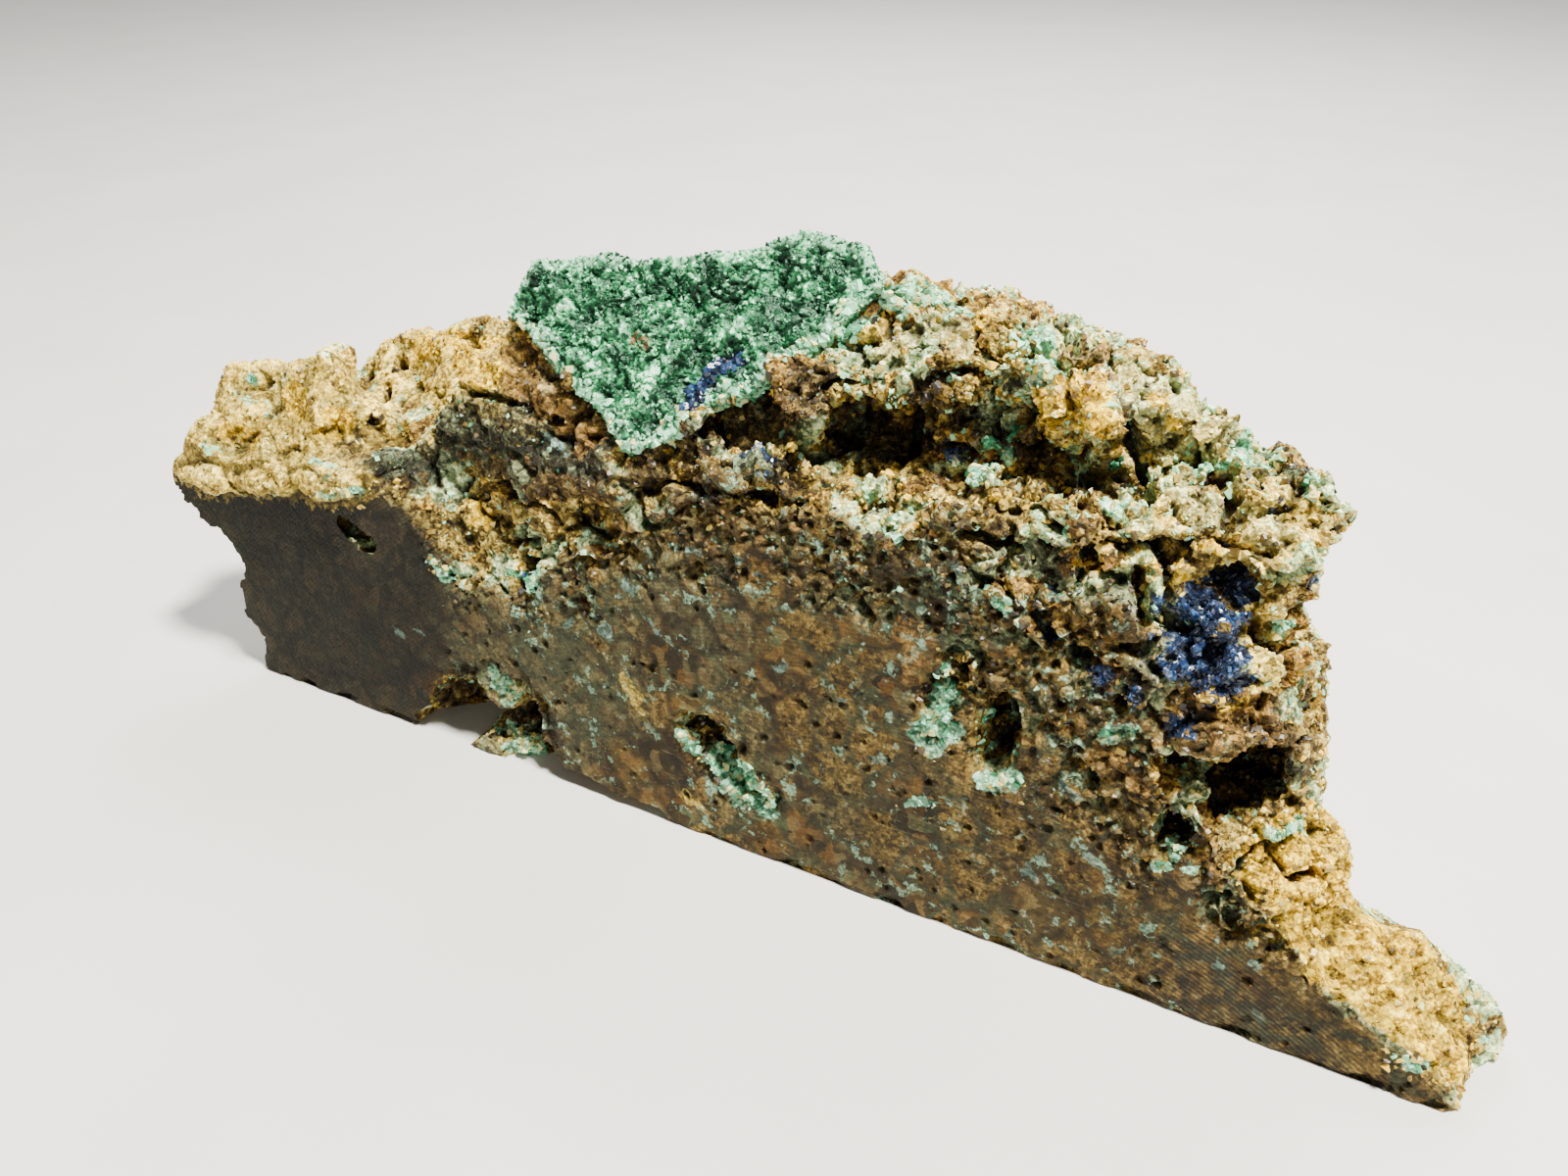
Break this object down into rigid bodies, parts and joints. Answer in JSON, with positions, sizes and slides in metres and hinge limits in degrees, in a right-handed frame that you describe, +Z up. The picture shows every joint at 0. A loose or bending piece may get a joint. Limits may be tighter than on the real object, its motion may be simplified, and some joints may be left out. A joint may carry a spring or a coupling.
{
  "type": "azurite and malachite stone",
  "caption": "Rough brown iron-oxide stone with a green malachite plate, blue azurite and one flat sawn side; it stands on its flat underside.",
  "frame": {"origin": "middle of the bounding box's underside, on the surface that the stone stands on", "axes": "+X along the foot of the sawn face towards the low thin end, -Y out of the sawn face, +Z up"},
  "size_m": [0.1346, 0.0362, 0.0523],
  "materials": {
    "stone": "rough and earthy, matt where it is sawn"
  },
  "bodies": {
    "root": {"stone": "stone"}
  },
  "joints": []
}
